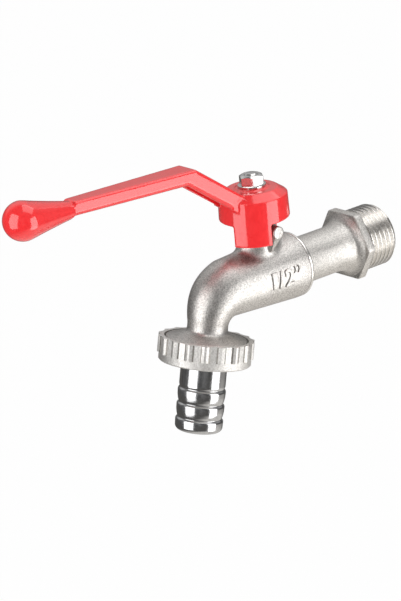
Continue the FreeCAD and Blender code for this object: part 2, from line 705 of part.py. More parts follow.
tab_sketch.addConstraint(Sketcher.Constraint("Coincident", outer_arc, 1, left_line, 2))
tab_sketch.addConstraint(Sketcher.Constraint("Coincident", inner_arc, 2, right_line, 2))
tab_sketch.addConstraint(Sketcher.Constraint("Coincident", inner_arc, 1, left_line, 1))
tab_sketch.addConstraint(Sketcher.Constraint("Vertical", right_line))
tab_sketch.addConstraint(Sketcher.Constraint("Horizontal", left_line))
bind(tab_sketch, "Radius", (outer_arc,), tab_outer)
bind(tab_sketch, "Radius", (inner_arc,), tab_inner)
bind(tab_sketch, "DistanceX", (-1, 1, right_line, 1), f"-{tab_edge}")
bind(tab_sketch, "DistanceY", (-1, 1, left_line, 1), f"-{tab_edge}")
tab = pad(lever, "tab", tab_sketch, "Sizes.skirt_low - Sizes.tab_low", reverse=True)
tabs = lever.newObject("PartDesign::PolarPattern", "tabs")
tabs.Originals = [tab]
tabs.Axis = (origin_feature(lever, "Z_Axis"), [""])
tabs.Angle = 360
tabs.Occurrences = 2
lever.Tip = tabs
doc.recompute()

rise = "((Sizes.bend_high - Sizes.hub_top) / (Sizes.bend_out - Sizes.arm_rise_start))"
slope = "tan(Sizes.arm_slope * 1 deg)"
root_top = f"(Sizes.hub_top - (Sizes.arm_rise_start - Sizes.arm_root) * {rise})"
end_top = f"(Sizes.bend_high + (Sizes.arm_end - Sizes.bend_out) * {slope})"
# the underside bends where its two straight runs cross
under_run = f"((Sizes.arm_rise_depth - Sizes.arm_depth) / ({rise} - {slope}))"
under_out = f"(Sizes.bend_out + {under_run})"
under_high = f"(Sizes.bend_high - Sizes.arm_depth + {under_run} * {slope})"
under_drop = f"(Sizes.bend_high - {under_high})"
bend_lean = f"atan({under_run} / {under_drop})"
bend_depth = f"sqrt({under_run} * {under_run} + {under_drop} * {under_drop})"


def channel_section(name, out, top, depth, width, lean="0"):
    """An upside-down U across the arm, hung from a point on the arm's top."""
    section = new_sketch(lever, name, "YZ_Plane")
    section.AttachmentOffset = Placement(Vector(0, 0, 0), Rotation(Vector(1, 0, 0), 1))
    section.setExpression("AttachmentOffset.Rotation.Angle", f"({lean}) * 1")
    section.setExpression("AttachmentOffset.Base.y", f"({top}) * 1 mm")
    section.setExpression("AttachmentOffset.Base.z", f"-({out}) * 1 mm")
    half = f"({width} / 2)"
    corner_cut = "Sizes.arm_edge * Sizes.round_share"
    draw_outline(section, [
        (f"-{half}", f"-{depth}"),
        (f"-{half}", "-Sizes.arm_edge"),
        (f"-{half} + {corner_cut}", f"-{corner_cut}"),
        (f"-{half} + Sizes.arm_edge", "0"),
        (f"{half} - Sizes.arm_edge", "0"),
        (f"{half} - {corner_cut}", f"-{corner_cut}"),
        (half, "-Sizes.arm_edge"),
        (half, f"-{depth}"),
        (f"{half} - Sizes.arm_wall", f"-{depth}"),
        (f"{half} - Sizes.arm_wall", "-Sizes.arm_wall"),
        (f"-{half} + Sizes.arm_wall", "-Sizes.arm_wall"),
        (f"-{half} + Sizes.arm_wall", f"-{depth}"),
    ])
    return section


root_section = channel_section(
    "arm_root_section", "Sizes.arm_root", root_top, "Sizes.arm_rise_depth", "Sizes.arm_width")
bend_section = channel_section(
    "arm_bend_section", "Sizes.bend_out", "Sizes.bend_high", bend_depth, "Sizes.arm_width", bend_lean)
end_section = channel_section(
    "arm_end_section", "Sizes.arm_end", end_top, "Sizes.arm_depth", "Sizes.arm_end_width")
doc.recompute()
arm = lever.newObject("PartDesign::AdditiveLoft", "arm")
arm.Profile = root_section
arm.Sections = [bend_section, end_section]
arm.Ruled = True
doc.recompute()

# cone and ball on the middle line of the arm's outer stretch
knob_base = f"({end_top} - Sizes.arm_depth / 2)"
knob_out = "(Sizes.arm_end + Sizes.knob_reach * cos(Sizes.arm_slope * 1 deg))"
knob_high = f"({knob_base} + Sizes.knob_reach * sin(Sizes.arm_slope * 1 deg))"
cone_angle = (
    "(asin(Sizes.knob_radius / sqrt(pow(Sizes.knob_reach; 2) + pow(Sizes.knob_neck; 2)))"
    " - atan(Sizes.knob_neck / Sizes.knob_reach))"
)
cone_touch = f"(Sizes.knob_reach - Sizes.knob_radius * sin({cone_angle}))"
cone_touch_radius = f"(Sizes.knob_radius * cos({cone_angle}))"

cone_sketch = new_sketch(lever, "cone_outline", "XZ_Plane")
cone_sketch.AttachmentOffset = Placement(Vector(0, 0, 0), Rotation(Vector(0, 0, -1), 1))
cone_sketch.setExpression("AttachmentOffset.Rotation.Angle", "Sizes.arm_slope * 1 deg")
cone_sketch.setExpression("AttachmentOffset.Base.x", "-Sizes.arm_end * 1 mm")
cone_sketch.setExpression("AttachmentOffset.Base.y", f"{knob_base} * 1 mm")
draw_outline(cone_sketch, [
    ("Sizes.arm_wall", "0"),
    ("Sizes.arm_wall", "Sizes.arm_depth / 2 - Sizes.arm_edge"),
    ("0", "Sizes.knob_neck"),
    (f"-{cone_touch}", cone_touch_radius),
    ("-Sizes.knob_reach", "0"),
])
cone = lever.newObject("PartDesign::Revolution", "cone")
cone.Profile = cone_sketch
cone.ReferenceAxis = (cone_sketch, ["H_Axis"])
cone.Angle = 360
doc.recompute()

knob = lever.newObject("PartDesign::AdditiveSphere", "knob")
knob.AttachmentSupport = [(origin_feature(lever, "XY_Plane"), "")]
knob.MapMode = "FlatFace"
knob.setExpression("Radius", "Sizes.knob_radius")
knob.setExpression("AttachmentOffset.Base.x", f"-{knob_out} * 1 mm")
knob.setExpression("AttachmentOffset.Base.z", f"{knob_high} * 1 mm")
doc.recompute()

# hole that fits the stem's two flats
hole_radius = "(Sizes.stem_flat_radius + Sizes.run_gap)"
hole_half = "(Sizes.stem_flats / 2 + Sizes.run_gap)"
stem_hole_sketch = lifted_sketch(lever, "stem_hole_outline", "XY_Plane", "Sizes.stem_shoulder")
half_high = f"sqrt({hole_radius} * {hole_radius} - {hole_half} * {hole_half})"
flat_points = [
    Vector(number(hole_half), -number(half_high), 0),
    Vector(number(hole_half), number(half_high), 0),
    Vector(-number(hole_half), number(half_high), 0),
    Vector(-number(hole_half), -number(half_high), 0),
]
top_point = Vector(0, number(hole_radius), 0)
stem_hole_sketch.addGeometry(Part.LineSegment(flat_points[0], flat_points[1]), False)
stem_hole_sketch.addGeometry(Part.Arc(flat_points[1], top_point, flat_points[2]), False)
stem_hole_sketch.addGeometry(Part.LineSegment(flat_points[2], flat_points[3]), False)
stem_hole_sketch.addGeometry(Part.Arc(flat_points[3], -top_point, flat_points[0]), False)
right_flat, top_arc, left_flat, low_arc = range(4)
stem_hole_sketch.addConstraint(Sketcher.Constraint("Coincident", top_arc, 3, -1, 1))
stem_hole_sketch.addConstraint(Sketcher.Constraint("Coincident", low_arc, 3, -1, 1))
stem_hole_sketch.addConstraint(Sketcher.Constraint("Coincident", right_flat, 2, top_arc, 1))
stem_hole_sketch.addConstraint(Sketcher.Constraint("Coincident", top_arc, 2, left_flat, 1))
stem_hole_sketch.addConstraint(Sketcher.Constraint("Coincident", left_flat, 2, low_arc, 1))
stem_hole_sketch.addConstraint(Sketcher.Constraint("Coincident", low_arc, 2, right_flat, 1))
stem_hole_sketch.addConstraint(Sketcher.Constraint("Vertical", right_flat))
stem_hole_sketch.addConstraint(Sketcher.Constraint("Vertical", left_flat))
bind(stem_hole_sketch, "Radius", (top_arc,), hole_radius)
bind(stem_hole_sketch, "Radius", (low_arc,), hole_radius)
bind(stem_hole_sketch, "DistanceX", (-1, 1, right_flat, 1), hole_half)
bind(stem_hole_sketch, "DistanceX", (-1, 1, left_flat, 1), f"-{hole_half}")
lever_hole = pad(lever, "lever_hole", stem_hole_sketch, grip_height, kind="Pocket", reverse=True)
lever.Tip = lever_hole


# Washer and nut on top of the lever

nut_bore = "Sizes.stem_thread_radius + Sizes.thread_gap"
lever_washer = ring_part("lever_washer", nut_bore, "Sizes.washer_radius", washer_low, washer_top)

lever_nut = placed_body("lever_nut")
nut_sketch = lifted_sketch(lever_nut, "nut_outline", "XY_Plane", washer_top)
draw_hexagon(nut_sketch, "Sizes.nut_flats", turned=False)
pad(lever_nut, "nut_block", nut_sketch, "Sizes.nut_thick")
turned_part(lever_nut, "nut_hole", "Groove", "Z_Axis", [
    ("0", washer_top),
    (nut_bore, washer_top),
    (nut_bore, nut_top),
    ("0", nut_top),
])
nut_bevel = turned_part(lever_nut, "nut_bevel", "Groove", "Z_Axis", [
    ("Sizes.nut_flats / 2", nut_top),
    ("Sizes.nut_flats / 2 + Sizes.nut_bevel_width", nut_top),
    ("Sizes.nut_flats / 2 + Sizes.nut_bevel_width", f"{nut_top} - Sizes.nut_bevel_height"),
])
lever_nut.Tip = nut_bevel


# Union: gasket, hose tail and ribbed nut, all about the spout's axis

union_gasket = placed_body("union_gasket", at_spout=True)
turned_part(union_gasket, "gasket_ring", "Revolution", "Z_Axis", [
    ("Sizes.gasket_hole", f"-{collar_low_face}"),
    (gasket_radius, f"-{collar_low_face}"),
    (gasket_radius, f"-{gasket_low_face}"),
    ("Sizes.gasket_hole", f"-{gasket_low_face}"),
])

hose_tail = placed_body("hose_tail", at_spout=True)
tail_outline = [
    ("Sizes.tail_bore_radius", f"-{gasket_low_face}"),
    (flange_radius, f"-{gasket_low_face}"),
    (flange_radius, f"-{flange_low_face}"),
    ("Sizes.tail_radius", f"-{flange_low_face}"),
    ("Sizes.tail_radius", f"-({first_crest} - Sizes.barb_step)"),
]
for barb in range(3):
    crest = f"({first_crest} + {barb} * Sizes.barb_pitch)"
    tail_outline.append(("Sizes.barb_crest", f"-{crest}"))
    if barb < 2:
        tail_outline.append(("Sizes.barb_root", f"-({crest} + Sizes.barb_pitch - Sizes.barb_step)"))
tail_outline += [
    ("Sizes.land_radius", f"-({first_crest} + 2 * Sizes.barb_pitch + Sizes.barb_step)"),
    ("Sizes.land_radius", f"-{tail_low}"),
    ("Sizes.tail_bore_radius", f"-{tail_low}"),
]
tail_core = turned_part(hose_tail, "tail_core", "Revolution", "Z_Axis", tail_outline)


def tail_end_edge(edge):
    """Whether an edge is the outer edge of the hose tail's free end."""
    if not isinstance(edge.Curve, Part.Circle):
        return False
    at_end = near(edge.Curve.Center.z, -number(tail_low))
    return at_end and near(edge.Curve.Radius, number("Sizes.land_radius"))


tail_edges = edges_where(tail_core, tail_end_edge)
tail_round = dress(hose_tail, "tail_round", "Fillet", tail_core, tail_edges, "Sizes.tail_rounding")
hose_tail.Tip = tail_round

union_nut = placed_body("union_nut", at_spout=True)
lip_top = f"({flange_low_face} + Sizes.run_gap)"
turned_part(union_nut, "nut_shell", "Revolution", "Z_Axis", [
    (f"{union_hole} + Sizes.union_mouth", f"-{union_top}"),
    (union_band, f"-{union_top}"),
    (union_band, f"-({union_low} - Sizes.union_edge)"),
    (f"{union_band} - Sizes.union_edge", f"-{union_low}"),
    ("Sizes.barb_crest + Sizes.rest_gap", f"-{union_low}"),
    ("Sizes.barb_crest + Sizes.rest_gap", f"-{lip_top}"),
    (union_hole, f"-{lip_top}"),
    (union_hole, f"-({union_top} + Sizes.union_mouth)"),
])

rib_outline = lifted_sketch(union_nut, "union_rib_outline", "XY_Plane", f"-{union_top}")
rib_outline.AttachmentOffset = Placement(rib_outline.AttachmentOffset.Base, Rotation(1, 0, 0))
rib_outline.setExpression("AttachmentOffset.Rotation.Angle", "Sizes.union_rib_turn * 1 deg")
rib_foot = f"({union_band} - Sizes.union_rib_root)"
draw_outline(rib_outline, [
    (rib_foot, "-Sizes.union_rib_width / 2"),
    (union_band, "-Sizes.union_rib_width / 2"),
    (union_crest, "-Sizes.union_rib_crest / 2"),
    (union_crest, "Sizes.union_rib_crest / 2"),
    (union_band, "Sizes.union_rib_width / 2"),
    (rib_foot, "Sizes.union_rib_width / 2"),
])
union_rib = pad(union_nut, "union_rib", rib_outline, "Sizes.union_rib_length", reverse=True)
ribs = union_nut.newObject("PartDesign::PolarPattern", "ribs")
ribs.Originals = [union_rib]
ribs.Axis = (origin_feature(union_nut, "Z_Axis"), [""])
ribs.Angle = 360
ribs.setExpression("Occurrences", "Sizes.union_rib_count")
union_nut.Tip = ribs
doc.recompute()


# Write each piece after testing it

pieces = [
    body, inlet_connector, inlet_seat, outlet_seat, ball, stem, thrust_washer, stem_packing,
    gland_nut, lever, lever_washer, lever_nut, union_gasket, hose_tail, union_nut,
]

doc.recompute()
for item in doc.Objects:
    for word in ("Invalid", "Error"):
        if word in item.State:
            raise RuntimeError(f"{item.Label} is {word}")
for piece in pieces:
    if piece.Shape.isNull() or not piece.Shape.isValid():
        raise RuntimeError(f"{piece.Label} has no valid shape")

os.makedirs("parts", exist_ok=True)
for piece in pieces:
    solids = len(piece.Shape.Solids)
    print(f"{piece.Label}: {solids} solid, {piece.Shape.Volume:.1f} mm3")
    piece.Shape.exportStep(f"parts/{piece.Label}.step")
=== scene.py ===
# Looks of a half inch lever ball valve bib tap with a hose union.
# Everything is in metres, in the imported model's frame: +X into the wall, +Z up the stem.
import math

import bmesh
import bpy
from mathutils import Euler, Matrix, Vector


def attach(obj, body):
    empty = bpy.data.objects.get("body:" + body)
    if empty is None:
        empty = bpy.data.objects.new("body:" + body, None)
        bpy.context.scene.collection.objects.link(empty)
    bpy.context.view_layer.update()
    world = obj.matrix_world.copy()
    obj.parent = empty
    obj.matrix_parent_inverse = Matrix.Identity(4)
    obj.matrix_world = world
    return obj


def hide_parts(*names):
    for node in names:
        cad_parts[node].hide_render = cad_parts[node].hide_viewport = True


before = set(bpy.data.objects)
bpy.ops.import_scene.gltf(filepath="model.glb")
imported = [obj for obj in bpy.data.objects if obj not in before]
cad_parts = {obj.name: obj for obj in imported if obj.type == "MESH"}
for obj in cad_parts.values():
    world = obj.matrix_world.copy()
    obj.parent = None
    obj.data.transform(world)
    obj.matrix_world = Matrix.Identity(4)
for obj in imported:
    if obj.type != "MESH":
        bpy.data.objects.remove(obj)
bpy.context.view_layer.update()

mm = 0.001
stemX = -40 * mm                    # the stem and the ball stand here
spoutStart = Vector((-60.848, 0, 0)) * mm   # where the spout's axis crosses the inlet's
spoutLean = math.radians(13.2)      # from straight down
weldGap = 0.002 * mm                # points nearer than this are one point


def selectOnly(piece):
    if bpy.context.object and bpy.context.object.mode != "OBJECT":
        bpy.ops.object.mode_set(mode="OBJECT")
    bpy.ops.object.select_all(action="DESELECT")
    piece.select_set(True)
    bpy.context.view_layer.objects.active = piece


def startEditing(piece):
    selectOnly(piece)
    bpy.ops.object.mode_set(mode="EDIT")
    bpy.ops.mesh.select_mode(type="VERT")
    bpy.ops.mesh.select_all(action="SELECT")


def stopEditing():
    bpy.ops.object.mode_set(mode="OBJECT")


def selectWhere(kind, test):        # kind is VERT, EDGE or FACE, in edit mode
    bpy.ops.mesh.select_mode(type=kind)
    bpy.ops.mesh.select_all(action="DESELECT")
    mesh = bmesh.from_edit_mesh(bpy.context.object.data)
    parts = {"VERT": mesh.verts, "EDGE": mesh.edges, "FACE": mesh.faces}[kind]
    for part in parts:
        if test(part):
            part.select_set(True)
    bmesh.update_edit_mesh(bpy.context.object.data)


def applied(piece, kind, **settings):
    modifier = piece.modifiers.new(kind.lower(), kind)
    for key, value in settings.items():
        setattr(modifier, key, value)
    selectOnly(piece)
    bpy.ops.object.modifier_apply(modifier=modifier.name)


def settle(piece, matrix=None):     # the piece's place goes into its mesh
    if matrix is not None:
        piece.matrix_world = matrix @ piece.matrix_world
    selectOnly(piece)
    bpy.ops.object.transform_apply(location=True, rotation=True, scale=True)


def joined(target, tool, operation):
    applied(target, "BOOLEAN", object=tool, operation=operation, solver="EXACT")
    bpy.data.objects.remove(tool)


def smoothed(piece, degrees=30):
    selectOnly(piece)
    bpy.ops.object.shade_smooth_by_angle(angle=math.radians(degrees))


def remeshed(piece, voxel):
    applied(piece, "REMESH", mode="VOXEL", voxel_size=voxel * mm)


def softened(piece, turns, factor=0.5):
    applied(piece, "SMOOTH", factor=factor, iterations=turns)


def weld():                         # this and the next one work on the whole mesh, in edit mode
    bpy.ops.mesh.select_all(action="SELECT")
    bpy.ops.mesh.remove_doubles(threshold=weldGap)


def faceOutwards():
    bpy.ops.mesh.select_all(action="SELECT")
    bpy.ops.mesh.normals_make_consistent(inside=False)


def drawnLine(name, points):        # points are (along, out) pairs in millimetres, drawn in the XZ plane
    bpy.ops.object.select_all(action="DESELECT")
    bpy.ops.mesh.primitive_plane_add(size=mm)
    piece = bpy.context.object
    piece.name = name
    startEditing(piece)
    bpy.ops.mesh.merge(type="CENTER")
    places = [Vector((along * mm, 0, out * mm)) for along, out in points]
    bpy.ops.transform.translate(value=places[0])
    for before, place in zip(places, places[1:]):
        bpy.ops.mesh.extrude_region_move(TRANSFORM_OT_translate={"value": place - before})
    stopEditing()
    return piece


def turned(name, points, rounded=(), steps=96, closed=True):
    # an outline spun round the X axis; rounded holds (corner number, radius) pairs
    piece = drawnLine(name, points)
    startEditing(piece)
    if closed:
        bpy.ops.mesh.edge_face_add()
        bpy.ops.mesh.delete(type="ONLY_FACE")
    radii = dict(rounded)
    for radius in sorted(set(radii.values())):
        spots = [Vector((points[i][0] * mm, 0, points[i][1] * mm)) for i in radii if radii[i] == radius]
        selectWhere("VERT", lambda v: any((v.co - spot).length < weldGap for spot in spots))
        bpy.ops.mesh.bevel(offset=radius * mm, segments=3, affect="VERTICES")
    bpy.ops.mesh.select_all(action="SELECT")
    bpy.ops.mesh.spin(steps=steps, angle=math.tau, center=(0, 0, 0), axis=(1, 0, 0))
    weld()
    faceOutwards()
    stopEditing()
    return piece


def hexBlock(flats, tall, axis, cornerRound, segments, **place):
    # a hexagon with rounded corners, which run along axis 0 (X) or 2 (Z)
    bpy.ops.object.select_all(action="DESELECT")
    bpy.ops.mesh.primitive_cylinder_add(
        vertices=6, radius=flats / 2 / math.cos(math.radians(30)) * mm, depth=tall * mm, **place)
    piece = bpy.context.object
    settle(piece)
    startEditing(piece)
    selectWhere("EDGE", lambda e: abs(e.verts[0].co[axis] - e.verts[1].co[axis]) > mm)
    bpy.ops.mesh.bevel(offset=cornerRound * mm, segments=segments, affect="EDGES")
    stopEditing()
    return piece


def copyOfNode(nodeName, pieceName):    # a welded, editable copy of a solid; the solid itself is left alone
    piece = bpy.data.objects.new(pieceName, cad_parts[nodeName].data.copy())
    bpy.context.scene.collection.objects.link(piece)
    piece.data.materials.clear()
    startEditing(piece)
    weld()
    stopEditing()
    return piece


def handOver(piece, body, slotName, material, *nodes):
    piece.data.materials.clear()
    for one in material if isinstance(material, (list, tuple)) else [material]:
        piece.data.materials.append(one)
    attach(piece, body)
    if nodes:
        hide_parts(*nodes)


def alongSpout():                   # a place at the spout's start, with X pointing down its leaning axis
    down = Vector((-math.sin(spoutLean), 0, -math.cos(spoutLean)))
    side = Vector((0, 1, 0))
    turn = Matrix((down, side, down.cross(side))).transposed().to_4x4()
    return Matrix.Translation(spoutStart) @ turn


spoutPlace = alongSpout()
spoutDown = spoutPlace.to_3x3() @ Vector((1, 0, 0))


# Materials: one shader group gives all of them their grain

speckle = {
    "fineDetail": 2.5, "fineRoughness": 0.6, "slowDetail": 3.0,
    "sharpened": (0.36, 0.64),      # this range of the fine noise is spread to the full one
    "patches": (0.3, 0.7),          # and this range of the slow noise to a material's roughness
}


def levels(nodes, links, source, start, end, low=0, high=1):
    # what ran from start to end now runs from low to high
    ramp = nodes.new("ShaderNodeMapRange")
    links.new(source, ramp.inputs["Value"])
    for label, value in (("From Min", start), ("From Max", end), ("To Min", low), ("To Max", high)):
        ramp.inputs[label].default_value = value
    return ramp.outputs["Result"]


def newGroup(name, inputs, outputs):
    group = bpy.data.node_groups.new(name, "ShaderNodeTree")
    for label, kind, value in inputs:
        socket = group.interface.new_socket(label, in_out="INPUT", socket_type=kind)
        socket.default_value = value
    for label, kind in outputs:
        group.interface.new_socket(label, in_out="OUTPUT", socket_type=kind)
    start = group.nodes.new("NodeGroupInput")
    end = group.nodes.new("NodeGroupOutput")
    return group, start, end


def makeGrainGroup():
    # fine blasted speckle over slow unevenness, both as a height and as a mask
    group, start, end = newGroup("blastGrain", [
        ("Fine Scale", "NodeSocketFloat", 2600.0),
        ("Slow Scale", "NodeSocketFloat", 240.0),
        ("Slow Share", "NodeSocketFloat", 0.35),
    ], [("Height", "NodeSocketFloat"), ("Speckle", "NodeSocketFloat"), ("Patch", "NodeSocketFloat")])
    nodes, links = group.nodes, group.links
    place = nodes.new("ShaderNodeTexCoord")
    fine = nodes.new("ShaderNodeTexNoise")
    fine.inputs["Detail"].default_value = speckle["fineDetail"]
    fine.inputs["Roughness"].default_value = speckle["fineRoughness"]
    slow = nodes.new("ShaderNodeTexNoise")
    slow.inputs["Detail"].default_value = speckle["slowDetail"]
    for noise, scale in ((fine, "Fine Scale"), (slow, "Slow Scale")):
        links.new(place.outputs["Object"], noise.inputs["Vector"])
        links.new(start.outputs[scale], noise.inputs["Scale"])
    sharp = levels(nodes, links, fine.outputs["Fac"], *speckle["sharpened"])
    both = nodes.new("ShaderNodeMath")
    both.operation = "MULTIPLY_ADD"
    links.new(slow.outputs["Fac"], both.inputs[0])
    links.new(start.outputs["Slow Share"], both.inputs[1])
    links.new(sharp, both.inputs[2])
    links.new(both.outputs["Value"], end.inputs["Height"])
    links.new(sharp, end.inputs["Speckle"])
    links.new(slow.outputs["Fac"], end.inputs["Patch"])
    return group


grainGroup = makeGrainGroup()


def newMaterial(name, **settings):
    material = bpy.data.materials.new(name)
    material.use_nodes = True
    shader = material.node_tree.nodes["Principled BSDF"]
    for key, value in settings.items():
        shader.inputs[key].default_value = value
    return material, shader


def grainy(name, tones, roughness, grain, bump, **settings):
    # tones are the two colours that the speckle mixes, roughness the least and the most, bump a strength
    # and a depth in metres
    material, shader = newMaterial(name, **settings)
    nodes, links = material.node_tree.nodes, material.node_tree.links
    group = nodes.new("ShaderNodeGroup")
    group.node_tree = grainGroup
    for key, value in grain.items():
        group.inputs[key].default_value = value
    blend = nodes.new("ShaderNodeMix")
    blend.data_type = "RGBA"
    blend.inputs["A"].default_value = (*tones[0], 1)
    blend.inputs["B"].default_value = (*tones[1], 1)
    spread = levels(nodes, links, group.outputs["Patch"], *speckle["patches"], *roughness)
    lift = nodes.new("ShaderNodeBump")
    lift.inputs["Strength"].default_value, lift.inputs["Distance"].default_value = bump
    links.new(group.outputs["Speckle"], blend.inputs["Factor"])
    links.new(blend.outputs["Result"], shader.inputs["Base Color"])
    links.new(spread, shader.inputs["Roughness"])
    links.new(group.outputs["Height"], lift.inputs["Height"])
    links.new(lift.outputs["Normal"], shader.inputs["Normal"])
    return material


blastedNickel = grainy("blastedNickel", [(0.44, 0.42, 0.40), (0.80, 0.775, 0.745)], (0.36, 0.46),
                       {"Fine Scale": 2300.0, "Slow Scale": 160.0}, (0.50, 0.00005), Metallic=1.0)
# painted shade: a dark nickel that stands in for the shade on the size figures' sides and at the rim's groove
# and outer rounding
paintedShade = grainy("paintedShade", [(0.16, 0.145, 0.13), (0.34, 0.32, 0.30)], (0.45, 0.60),
                   {"Fine Scale": 2300.0, "Slow Scale": 160.0}, (0.40, 0.00005), Metallic=1.0)
satinNickel = grainy("satinNickel", [(0.52, 0.50, 0.475), (0.85, 0.825, 0.79)], (0.42, 0.50),
                     {"Fine Scale": 2300.0, "Slow Scale": 200.0}, (0.45, 0.00005), Metallic=1.0)
ribNickel = grainy("ribNickel", [(0.70, 0.68, 0.655), (0.92, 0.905, 0.88)], (0.50, 0.60),
                   {"Fine Scale": 2000.0, "Slow Scale": 200.0}, (0.50, 0.00006), Metallic=1.0)
# painted shade: a dark nickel for the thread's grooves, the union nut's hole wall and its ribs' feet
paintedShadeNickel = grainy("paintedShadeNickel", [(0.24, 0.225, 0.205), (0.44, 0.42, 0.39)], (0.45, 0.60),
                     {"Fine Scale": 2300.0, "Slow Scale": 160.0}, (0.40, 0.00005), Metallic=1.0)
turnedNickel = grainy("turnedNickel", [(0.78, 0.76, 0.73), (0.90, 0.875, 0.845)], (0.16, 0.26),
                      {"Fine Scale": 1500.0, "Slow Scale": 300.0}, (0.1, 0.00001), Metallic=1.0)
mirrorChrome = grainy("mirrorChrome", [(0.52, 0.52, 0.53), (0.60, 0.60, 0.605)], (0.12, 0.19),
                      {"Fine Scale": 900.0, "Slow Scale": 220.0}, (0.04, 0.00001), Metallic=1.0)
brightSteel = grainy("brightSteel", [(0.70, 0.69, 0.68), (0.80, 0.79, 0.78)], (0.1, 0.2),
                     {"Fine Scale": 1800.0, "Slow Scale": 350.0}, (0.12, 0.00001), Metallic=1.0)
redPaint = grainy("redPaint", [(0.90, 0.022, 0.026), (0.95, 0.030, 0.034)], (0.25, 0.35),
                  {"Fine Scale": 420.0, "Slow Scale": 130.0, "Slow Share": 0.8}, (0.10, 0.00005),
                  **{"Specular IOR Level": 0.2, "Coat Weight": 1.0, "Coat Roughness": 0.08, "Coat IOR": 1.7})
whitePtfe = grainy("whitePtfe", [(0.80, 0.80, 0.78), (0.87, 0.87, 0.85)], (0.45, 0.6),
                   {"Fine Scale": 1200.0, "Slow Scale": 200.0}, (0.2, 0.00002))
blackRubber = grainy("blackRubber", [(0.018, 0.018, 0.018), (0.035, 0.034, 0.033)], (0.6, 0.8),
                     {"Fine Scale": 1600.0, "Slow Scale": 200.0}, (0.3, 0.00003))
print("materials made")


# Body: the casting with its raised size mark, then the turned rim on its inlet end; painted shade darkens the
# figures' sides and the rim's groove and outer rounding

casting = {
    "voxel": 0.26,                  # remesh size, mm
    "softening": 6,                 # smoothing turns that round the cast edges
    "kept": 0.55,                   # share of the faces that is kept
    "smoothAngle": 60,
    "cutBack": -27.2,               # the casting ends here and the turned rim begins, mm
    "cutLength": 5, "cutRadius": 14,    # size of what cuts it there, mm
    "rim": [(-27.5, 9.15), (-27.5, 10.5), (-26.97, 10.5), (-26.9, 10.86), (-26.1, 10.86), (-25.8, 10.62),
            (-25.8, 9.15)],
    "rimRounded": [(3, 0.08), (4, 0.15)],
    "rimSteps": 128,
    "rimBright": (-26.95, -26.1),   # the rim is plain turned nickel between these and on its face, and painted shade elsewhere, on its groove and outer rounding, mm
    "rimFace": 0.9,                 # that face is what is turned to the wall by at least this cosine
    "coneStart": -14.7, "coneEnd": 10.8,        # the casting widens from one to the other, from the stem, mm
    "coneStartRadius": 9.45, "coneEndRadius": 10.9,
}
sizeMark = {
    "height": 0.45,                 # how far the figures stand out of the casting, mm
    "sides": 0.24,                  # how much their sides lean and round, mm
    "bolder": 0.28,                 # how much their strokes are widened, mm
    "figures": [                    # figure, its left and right from the stem, top, bottom and slant, mm
        ("1", -3.1, -0.7, 3.5, -2.1, 0.0),
        ("/", -0.5, 1.2, 3.4, -2.4, 0.0),
        ("2", 2.1, 5.6, 3.4, -2.5, 0.0),
        (")", 5.8, 6.9, 3.5, 1.3, 0.3),     # the inch mark is two bent strokes
        (")", 7.3, 8.5, 3.5, 1.2, 0.3),
    ],
    "foot": 0.2,                    # the figures' sides carry painted shade up to here, mm
    "textSize": 8, "textDepth": 0.5,    # size before they are fitted in, and extrusion each way, mm
    "middleRadius": 10.4,           # radius on which top and bottom are measured round the casting, mm
    "smoothAngle": 50,
}


def castingRadius(across):          # the casting's radius at this distance from the stem
    share = (across - casting["coneStart"]) / (casting["coneEnd"] - casting["coneStart"])
    return casting["coneStartRadius"] + min(share, 1) * (casting["coneEndRadius"] - casting["coneStartRadius"])


def castFigure(figure, left, right, top, bottom, slant):
    bpy.ops.object.select_all(action="DESELECT")
    bpy.ops.object.text_add()
    text = bpy.context.object
    text.data.body = figure
    text.data.size = sizeMark["textSize"] * mm
    text.data.extrude = sizeMark["textDepth"] * mm
    text.data.bevel_depth = sizeMark["sides"] * mm
    text.data.bevel_resolution = 3
    text.data.offset = (sizeMark["bolder"] - sizeMark["sides"]) * mm
    bpy.ops.object.convert(target="MESH")
    piece = bpy.context.object
    startEditing(piece)
    weld()
    bpy.ops.mesh.select_all(action="SELECT")
    bpy.ops.mesh.quads_convert_to_tris()
    bpy.ops.mesh.subdivide(number_cuts=2)
    stopEditing()
    places = [v.co.copy() for v in piece.data.vertices]
    low = [min(p[i] for p in places) for i in range(3)]
    high = [max(p[i] for p in places) for i in range(3)]
    for point in piece.data.vertices:
        rise = (point.co.y - low[1]) / (high[1] - low[1])
        up = bottom + (top - bottom) * rise
        across = left + (right - left) * (point.co.x - low[0]) / (high[0] - low[0])
        across += slant * (rise - 0.5)
        radius = castingRadius(across) + sizeMark["height"] + (point.co.z - high[2]) / mm
        angle = up / sizeMark["middleRadius"]
        point.co = Vector((across * mm + stemX, -radius * math.cos(angle) * mm,
                           radius * math.sin(angle) * mm))
    return piece


def makeSizeMark():
    figures = [castFigure(*figure) for figure in sizeMark["figures"]]
    selectOnly(figures[0])
    for figure in figures:
        figure.select_set(True)
    bpy.ops.object.join()
    piece = bpy.context.object
    piece.name = "sizeMark"
    startEditing(piece)
    weld()
    faceOutwards()
    stopEditing()
    smoothed(piece, sizeMark["smoothAngle"])
    handOver(piece, "tap_body", "nickel_brass", [blastedNickel, paintedShade])
    for face in piece.data.polygons:
        across, out = (face.center.x - stemX) / mm, math.hypot(face.center.y, face.center.z) / mm
        # the figures' sides up to the foot get painted shade, the rest the casting's nickel
        face.material_index = 1 if out - castingRadius(across) < sizeMark["foot"] else 0


def makeBody():
    piece = copyOfNode("body", "tapBody")
    remeshed(piece, casting["voxel"])
    softened(piece, casting["softening"])
    applied(piece, "DECIMATE", ratio=casting["kept"])
    start, wide = casting["cutBack"], casting["cutRadius"]
    end = start + casting["cutLength"]
    cutter = turned("rimCutter", [(start, 0), (start, wide), (end, wide), (end, 0)], closed=False)
    joined(piece, cutter, "DIFFERENCE")
    smoothed(piece, casting["smoothAngle"])
    handOver(piece, "tap_body", "nickel_brass", blastedNickel, "body")


